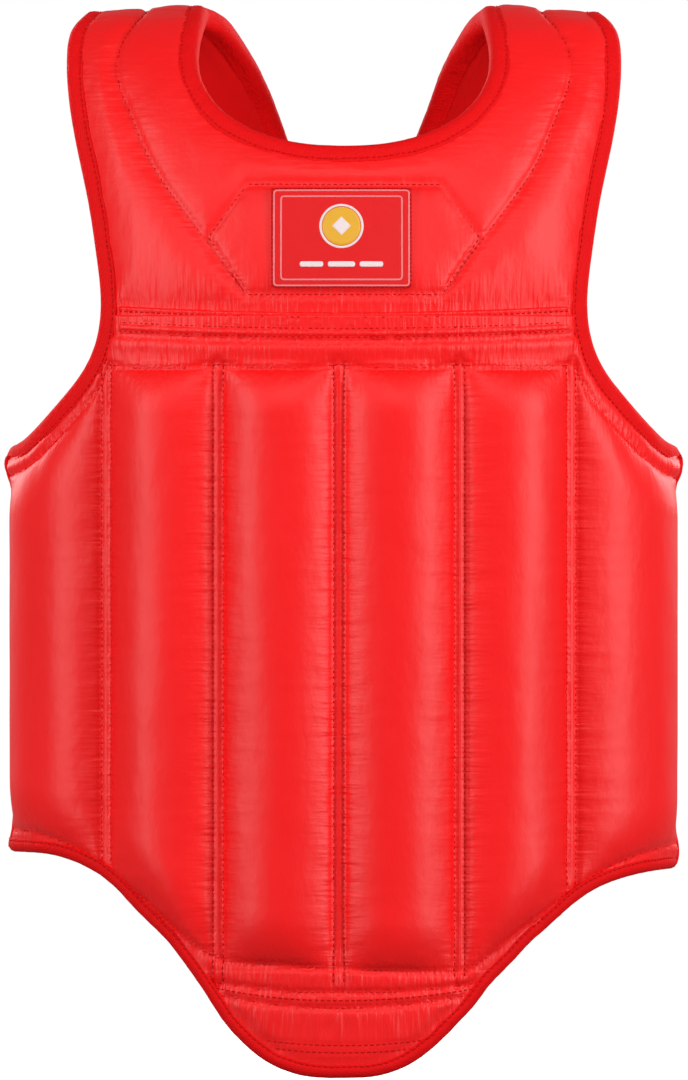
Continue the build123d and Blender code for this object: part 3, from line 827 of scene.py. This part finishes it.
def edge_tape(name, edges, width, side, seed, closed=False):
    """A tape folded over the pad's edge, and the line its stitches follow. side is 1 or -1, for inward."""
    p, n, v, s = resample(edges, 2.2, closed)
    inward = unit(np.cross(smooth_dirs(flow(p, closed)), n)) * side
    half = thickness(v) / 2
    h = half - pinch(v)
    w = width + 0.35 * noise(s / 9, s * 0, seed)
    wave = 0.22 * noise(s / 3.1, s * 0, seed + 1) + 0.25 * noise(s / 8, s * 0, seed + 2)
    top = [np.stack([w * a, h + b + wave * c], 1) for a, b, c in TAPE_SHAPE]
    top.append(np.stack([np.full_like(s, -1.3), h * 0.85 + 0.3 + 0.3 * wave], 1))
    top.append(np.stack([-2.1 + 0.4 * wave, h * 0.3], 1))
    section = np.stack(top + [q * [1, -1] for q in top[::-1]], 1)
    middle = p - n * half[:, None]
    stitch = middle + inward * (w * 0.76)[:, None] + n * (h + 1.05)[:, None]
    return sweep(name, middle, n, inward, section, tape, closed), (stitch, n)


def side_edge(sign, low):
    """The vest's upright side edge at +X or -X, down to the hem."""
    z = np.linspace(-237, low, 200)
    s = np.full_like(z, sign * S_END)
    return torso_at(s, z), torso_normal(s, z), np.zeros_like(z)


arm_up = ARM[: np.argmax(ARM[:, 1] < -236.0) + 1][::-1]
arm_edge = [
    edge_frame(arm_up), edge_frame(BACK_SIDE, True), edge_frame(mx(BACK_SIDE)[::-1], True),
    edge_frame(mx(arm_up)[::-1])
]
neck_edge = [
    edge_frame(NECK), edge_frame(mx(NECK)[::-1]), edge_frame(mx(BACK_NECK), True),
    edge_frame(BACK_NECK_LEFT[::-1], True)
]
arm_tape, arm_stitch = edge_tape("armhole_and_back_tape", arm_edge, TAPE_WIDE, -1, 41)
neck_tape, neck_stitch = edge_tape("neck_tape", neck_edge, TAPE_WIDE, -1, 44, closed=True)
hem_line = np.concatenate([HEM[HEM[:, 0] < 188], mx(HEM_R[HEM_R[:, 0] < 188])[::-1][1:]])
hem_tape, hem_stitch = edge_tape("hem_tape", [edge_frame(hem_line)], TAPE_HEM, 1, 47)
side_tapes = [
    edge_tape("side_tape_left_edge", [side_edge(1, -465.5)], TAPE_SIDE, 1, 51)[0],
    edge_tape("side_tape_right_edge", [side_edge(-1, -456.5)], TAPE_SIDE, -1, 49)[0],
]

# ---- stitches
STITCH_LIFT = 0.12  # how far a stitch's middle stands over the cloth


def stitches(name, lines, pitch=3.4, length=2.5, width=0.9):
    """Separate thread dashes along lines of (points, normals)."""
    along = np.array([-0.5, -0.28, 0.28, 0.5]) * length
    tall = np.array([-0.25, 1.0, 1.0, -0.25]) * 0.42
    wide = np.array([0.3, 1.0, 1.0, 0.3]) * width / 2
    blocks = []
    for p, n in lines:
        d = travel(p)
        if d[-1] < 2 * pitch:
            continue
        c = (np.arange(int(d[-1] / pitch)) + 0.5) * pitch
        m = sample(p, d, c)
        up = unit(sample(n, d, c))
        t = unit(sample(p, d, np.minimum(c + 1, d[-1])) - sample(p, d, np.maximum(c - 1, 0)))
        side = unit(np.cross(up, t))
        corners = []
        for a, h, w in zip(along, tall, wide):
            for across, rise in ((-1, -0.25), (-0.6, h), (0.6, h), (1, -0.25)):
                corners.append(m + t * a + side * (w * across) + up * rise)
        blocks.append(np.stack(corners, 1).reshape(-1, 3))
    points = np.concatenate(blocks)
    quads = [[3, 2, 1, 0], [12, 13, 14, 15]]
    for r in range(0, 12, 4):
        for c in range(4):
            quads.append([r + c, r + (c + 1) % 4, r + 4 + (c + 1) % 4, r + 4 + c])
    first = np.arange(0, len(points), 16)[:, None, None]
    return mesh_object(name, points, (first + np.array(quads)).reshape(-1, 4), [thread])


def torso_line(line):
    """Stitch positions on the swollen torso, from a line in s and z."""
    s, z = even(line, 1.5).T
    swell = torso_swell(s[:, None], z[:, None])[0][:, 0]
    return torso_at(s, z, swell + STITCH_LIFT), torso_normal(s, z)


def yoke_line(line, back=False):
    """Stitch positions on the swollen yoke and back, from a line in x and z."""
    x, z = even(line, 0.4).T
    v = v_of(z, back)
    swell = yoke_swell(x[:, None], v[:, None])[0][:, 0]
    return arch_at(x, v, swell + STITCH_LIFT), arch_normal(x, v)


def band_line(v):
    """Stitch positions along the band."""
    x = np.linspace(-126, 126, 400)
    z, level, _ = (column[:, 0] for column in band_at(x[:, None], np.full((400, 1), v)))
    return on_front(x, z, level + 0.2), unit(on_front(x, z, level + 1) - on_front(x, z, level))


def to_s(line):
    x, z = even(line, 1.0).T
    return np.stack([s_of_x(x), z], 1)


torso_lines = []
for u, low in zip(seam_s, SEAM_LOW):
    for row in (u - SEAM_HALF, u + SEAM_HALF):
        torso_lines.append(torso_line([(row, TOP_LINE), (row, low)]))
top_s = np.linspace(s_of_x(-133), s_of_x(127), 260)
torso_lines.append(torso_line(np.stack([top_s, channel_top(top_s)], 1)))
for line in SIDE_TOPS + LOW_LINES + FLAP_LINES + FLAP_ROWS:
    torso_lines.append(torso_line(to_s(line)))
for s in (-SIDE_STITCH, SIDE_STITCH):
    torso_lines.append(torso_line([(s, -250), (s, -449)]))
torso_stitches = stitches("stitches_torso", torso_lines + [hem_stitch])
yoke_lines = [yoke_line(STRAP_SEAM), yoke_line(mx(STRAP_SEAM)), yoke_line(HEX)]
yoke_lines += [yoke_line(BACK_SEAM, True), yoke_line(mx(BACK_SEAM), True)]
yoke_stitches = stitches("stitches_yoke", yoke_lines + [arm_stitch, neck_stitch])
band_stitches = stitches("stitches_band", [band_line(v) for v in (-155.3, -161.5, -166.3)])

# ---- badge
BADGE_X = -1.4
BADGE_Z = -116.0
BADGE_W = 39.0  # half its width
BADGE_H = 28.0  # half its height
ROUNDEL_Z = 6.5  # the roundel's middle over the badge's


def badge_point(x, z, level):
    """A point over the chest at the badge, from offsets from its middle."""
    return on_front(BADGE_X + x, BADGE_Z + z, level + 2.1)


def make_badge():
    """A thin sewn patch following the chest."""
    x, z = (np.arange(-half, half + 1.3, 1.3) for half in (BADGE_W, BADGE_H))
    x, z = grid(x * BADGE_W / x[-1], z * BADGE_H / z[-1])
    gap = np.minimum(BADGE_W - np.abs(x), BADGE_H - np.abs(z))
    level = 1.0 - 1.25 * (1 - step01(gap / 1.2)) + 0.15 * noise(x / 9, z / 9, 61)
    under = np.full(x.shape, -1.5)
    everywhere = np.ones(x.shape, bool)
    return pad("badge_patch", badge_point(x, z, level), badge_point(x, z, under), everywhere, [badge_cloth])


def badge_cord(name, line, level, radius, mat):
    """A raised, closed satin-stitched line on the badge."""
    x, z = even(line, 0.8)[:-1].T
    p = badge_point(x, z, level)
    n = unit(badge_point(x, z, level + 1) - p)
    side = unit(np.cross(flow(p, True), n))
    ring = [(radius * cos(a), 0.45 * radius * sin(a)) for a in np.linspace(0, 2 * pi, 9)[:-1]]
    return sweep(name, p, n, side, np.tile(ring, (len(p), 1, 1)), mat, True)


def badge_shape(name, outline, level, height, mat, cx=0.0, cz=0.0):
    """A raised embroidered shape with a domed face, fanned from its middle."""
    o = np.asarray(outline, float)
    m = len(o)
    rings = [(1.0, -0.6), (1.0, 0.35), (0.9, 0.9), (0.55, 1.0)]
    points = np.concatenate([o * k for k, _ in rings] + [[(0, 0)]])
    levels = np.concatenate([np.full(m, level + height * h) for _, h in rings] + [[level + height]])
    faces = []
    for c in range(m):
        d = (c + 1) % m
        faces += [[r + c, r + d, r + m + d, r + m + c] for r in range(0, 3 * m, m)]
        faces.append([3 * m + c, 3 * m + d, 4 * m])
    faces.append(list(range(m))[::-1])
    verts = badge_point(points[:, 0] + cx, points[:, 1] + cz, levels)
    return mesh_object(name, verts, faces, [mat], smooth=False)


def rectangle(w, h, r=1.5):
    """A closed rectangle with round corners, from its half sizes."""
    corners = ((w - r, h - r, 0), (r - w, h - r, 90), (r - w, r - h, 180), (w - r, r - h, 270))
    turns = [(x, z, radians(first + a)) for x, z, first in corners for a in (0, 30, 60, 90)]
    points = [(x + r * cos(t), z + r * sin(t)) for x, z, t in turns]
    return points + points[:1]


def circle(r, cz=0.0):
    turns = [2 * pi * k / 40 for k in range(40)]
    return [(r * cos(t), r * sin(t) + cz) for t in turns]


badge = make_badge()
frame_line = badge_cord("badge_outer_line", rectangle(BADGE_W - 1.7, BADGE_H - 1.7), 1.0, 0.5, pink_thread)
inner_line = badge_cord("badge_inner_line", rectangle(BADGE_W - 5.6, BADGE_H - 5), 1.0, 0.5, pink_thread)
rim = circle(11.6, ROUNDEL_Z)
rim_line = badge_cord("badge_ring_rim", rim + rim[:1], 1.05, 0.7, white_thread)
roundel = badge_shape("badge_roundel_gold", circle(10.6), 1.0, 0.7, gold_thread, cz=ROUNDEL_Z)
diamond = [(0, -5.2), (5.2, 0), (0, 5.2), (-5.2, 0)]
eye = badge_shape("badge_roundel_eye", diamond, 1.5, 0.6, white_thread, cz=ROUNDEL_Z)
bars = [
    badge_shape("badge_bar_%d" % k, rectangle(w, 1.5, 1.2)[:-1], 1.0, 0.5, white_thread, cx=x, cz=-14.5)
    for k, (x, w) in enumerate(((-16.5, 6.5), (0, 7.5), (16.5, 6.5)))
]
x, z = even(rectangle(BADGE_W - 0.6, BADGE_H - 0.6), 1.0).T
sewn = badge_point(x, z, 1.0)
badge_line = [(sewn, unit(badge_point(x, z, 2.0) - sewn))]
badge_stitches = stitches("stitches_badge", badge_line, pitch=2.4, length=1.9, width=0.6)

# ---- belts and grip tabs
BELT_R = 227.0  # round the back
BELT_T = 2.5
BELT_SIDE_R = BELT_R - hypot(SIDE_CX, BACK_CY)  # round the ribs
BELT_BLEND = atan2(-BACK_CY, SIDE_CX)
BELT_START = radians(0.6)
TAB_GAP = radians(0.2)
TAB_SEAM = radians(73.7)
TAB_END = radians(88.7)
RIB_LEN = BELT_SIDE_R * (BELT_BLEND + BELT_START)
BELT_LEN = RIB_LEN + BELT_R * (TAB_SEAM - TAB_GAP - BELT_BLEND)
TAB_LEN = BELT_R * (TAB_END - TAB_SEAM)
BELT_LOW = -370.0
BELT_HIGH = -285.0


def belt_at(d, z, level, sign):
    """A point d mm along a belt from the vest's side edge."""
    rib = d < RIB_LEN
    a = np.where(rib, d / BELT_SIDE_R - BELT_START, BELT_BLEND + (d - RIB_LEN) / BELT_R)
    r = np.where(rib, BELT_SIDE_R, BELT_R) + level
    x = np.where(rib, SIDE_CX, 0) + r * np.cos(a)
    y = np.where(rib, 0, BACK_CY) + r * np.sin(a)
    return np.stack([sign * x, y, z + 0 * x], -1)


def strap(name, d0, d1, sign, seed, corner=0.0):
    """Ribbed webbing with thicker edges, from d0 to d1 along a belt, with round corners at d1."""
    ds = np.arange(d0, d1 + 0.6, 1.4)
    d, z = grid(d0 + (ds - d0) * (d1 - d0) / (ds[-1] - d0), np.linspace(BELT_LOW, BELT_HIGH, 60))
    gap = np.minimum(z - BELT_LOW, BELT_HIGH - z)
    rim_drop = 0.9 * (1 - step01(np.minimum(gap, np.minimum(d - d0, d1 - d)) / 1.2))
    rib = 0.14 * np.sin(z * 2 * pi / 4.3) * (gap > 5)
    uneven = 0.25 * noise(d / 3.0, z / 30, seed) * step01(gap / 6)
    level = BELT_T - rim_drop + rib + uneven - bell(gap - 5, 0.35, 0.9)
    mask = np.ones(d.shape, bool)
    if corner:
        mask = np.hypot(np.maximum(d - (d1 - corner), 0), np.maximum(corner - gap, 0)) <= corner
    flip = slice(None, None, -1) if sign > 0 else slice(None)
    outer = belt_at(d, z, level, sign)
    inner = belt_at(d, z, rim_drop, sign)
    return pad(name, outer[:, flip], inner[:, flip], mask[:, flip], [webbing])


def belt_line(points, sign):
    """Stitch positions on a belt or tab, from a line in d and z."""
    d, z = even(points, 1.5).T
    p = belt_at(d, z, BELT_T + 0.05, sign)
    return p, unit(belt_at(d, z, BELT_T + 1, sign) - p)


def make_belt(side, sign):
    """A belt with its grip tab, and the stitches of each."""
    tab0 = BELT_LEN + TAB_GAP * BELT_R
    end = tab0 + TAB_LEN
    low = BELT_LOW + 3
    high = BELT_HIGH - 3
    belt = strap("belt_webbing_" + side, 0.0, BELT_LEN, sign, 71)
    tab = strap("grip_tab_" + side, tab0, end, sign, 73, corner=9.0)
    rows = [belt_line([(d, low), (d, high)], sign) for d in (3.0, 9.0, BELT_LEN - 3)]
    box = [(tab0 + 3, low), (tab0 + 3, high), (end - 9, high), (end - 3, high - 7), (end - 3, low + 7),
           (end - 9, low), (tab0 + 3, low)]
    belt_sewn = stitches("stitches_belt_" + side, rows)
    tab_sewn = stitches("stitches_tab_" + side, [belt_line(box, sign)])
    return belt, tab, belt_sewn, tab_sewn


SIDES = (("left", 1), ("right", -1))
belts = {side: make_belt(side, sign) for side, sign in SIDES}

# ---- transforms baked into the meshes; the band, badge and side tapes move with the front body; the CAD nodes that the pieces stand in for are hidden, and the patches get new materials
for piece in (yoke, arm_tape, neck_tape, yoke_stitches):
    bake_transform(piece)
for piece in (torso, hem_tape, torso_stitches):
    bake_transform(piece)
badge_prints = [frame_line, inner_line, rim_line, eye] + bars
for piece in [band, band_stitches, badge, roundel, badge_stitches] + side_tapes + badge_prints:
    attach(piece, "front")
for side, sign in SIDES:
    belt, tab, belt_sewn, tab_sewn = belts[side]
    for piece in (belt, belt_sewn):
        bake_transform(piece)
    for piece in (tab, tab_sewn):
        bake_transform(piece)
    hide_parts("belt_" + side)
    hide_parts("tab_" + side)
    for node, mat in (("loop_patch_", loop_pile), ("hook_patch_", hook_face)):
        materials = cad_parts[node + side].data.materials
        materials.clear()
        materials.append(mat)

foam_bars = ["foam_bar_%s_%s" % (k, side) for k in ("side", "outer", "inner") for side in ("left", "right")]
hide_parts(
    "torso_cover", "torso_lining", "torso_base_foam", "flap_cover", "flap_foam", "flap_lining",
    *foam_bars
)
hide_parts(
    "yoke_lining", "chest_foam", "strap_foam_left", "strap_foam_right", "yoke_cover", "chest_panel",
    "back_lining", "back_strap_lining", "back_foam", "back_upper_foam", "back_strap_foam_left",
    "back_strap_foam_right", "back_cover", "back_strap_cover"
)
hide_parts("yoke_band")
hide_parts("neck_binding", "back_neck_binding")
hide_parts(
    "armhole_binding_left", "armhole_binding_right", "back_edge_binding_left",
    "back_edge_binding_right", "back_hem_binding"
)
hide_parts("hem_binding_left", "hem_binding_right", "flap_binding")
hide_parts("side_tape_left")
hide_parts("side_tape_right")
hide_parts("badge")
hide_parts("badge_frame")
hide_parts("badge_roundel")
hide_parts("badge_bar")

# ---- floor, light, camera; in metres
WHITE = (1, 1, 1, 1)
AIM = Vector((0, 0, -0.28))  # the middle of the vest
FAR = 12.0  # the camera's distance
PICTURE_H = 1080 * 0.56 * MM  # the height that the picture covers at the vest's front
SENSOR = 24
FLOOR_Z = -0.607

floor_mat = Nodes("pale_floor", spec=0.1)
floor_cloud = floor_mat.noise(floor_mat.scaled(3, 3, 3))
floor_mat.colour(floor_cloud, (0.3, (0.9, 0.9, 0.9, 1)), (0.7, (0.93, 0.93, 0.93, 1)))
floor_mat.bsdf.inputs["Roughness"].default_value = 0.8
floor_mat.bsdf.inputs["Emission Color"].default_value = WHITE
floor_mat.bsdf.inputs["Emission Strength"].default_value = 0.8
bpy.ops.mesh.primitive_plane_add(size=170, location=(0, 0, FLOOR_Z))
floor = bpy.context.object
floor.name = "floor"
floor.data.materials.append(floor_mat.mat)
floor.visible_diffuse = False
floor.visible_glossy = False

scene = bpy.context.scene
scene.view_settings.view_transform = "Standard"
scene.view_settings.look = "None"


def studio_world(ambient, backdrop):
    """A soft grey light all round, behind a brighter white that only the camera sees."""
    world = bpy.data.worlds.new("studio")
    world.use_nodes = True
    nodes = world.node_tree.nodes
    links = world.node_tree.links
    light = nodes["Background"]
    seen = nodes.new("ShaderNodeBackground")
    mix = nodes.new("ShaderNodeMixShader")
    for k, (node, strength) in enumerate(((light, ambient), (seen, backdrop))):
        node.inputs["Color"].default_value = WHITE
        node.inputs["Strength"].default_value = strength
        links.new(node.outputs[0], mix.inputs[k + 1])
    links.new(nodes.new("ShaderNodeLightPath").outputs["Is Camera Ray"], mix.inputs[0])
    links.new(mix.outputs[0], nodes["World Output"].inputs["Surface"])
    return world


def softbox(name, at, size, power):
    data = bpy.data.lights.new(name, "AREA")
    data.shape = "RECTANGLE"
    data.size, data.size_y = size
    data.energy = power
    ob = bpy.data.objects.new(name, data)
    ob.location = at
    ob.rotation_euler = (AIM - Vector(at)).to_track_quat("-Z", "Y").to_euler()
    scene.collection.objects.link(ob)


scene.world = studio_world(0.24, 1.0)
softbox("softbox_left", (-1.5, -1.1, 0.05), (0.6, 1.7), 21)
softbox("softbox_right", (1.5, -1.1, 0.05), (0.6, 1.7), 27)
for side in (-1, 1):
    softbox("softbox_back_%d" % side, (side * 1.3, 1.7, 0.5), (1.2, 1.2), 17)
softbox("softbox_top", (0, -1.9, 1.0), (1.4, 0.35), 10)

lens = bpy.data.cameras.new("camera")
lens.sensor_fit = "VERTICAL"
lens.sensor_height = SENSOR
lens.sensor_width = 30
lens.lens = SENSOR * (FAR - 0.06) / PICTURE_H
lens.clip_end = 300
camera = bpy.data.objects.new("camera", lens)
camera.location = (0.0, -FAR, -0.2840)
camera.rotation_euler = (pi / 2, 0, 0)
scene.collection.objects.link(camera)
scene.camera = camera
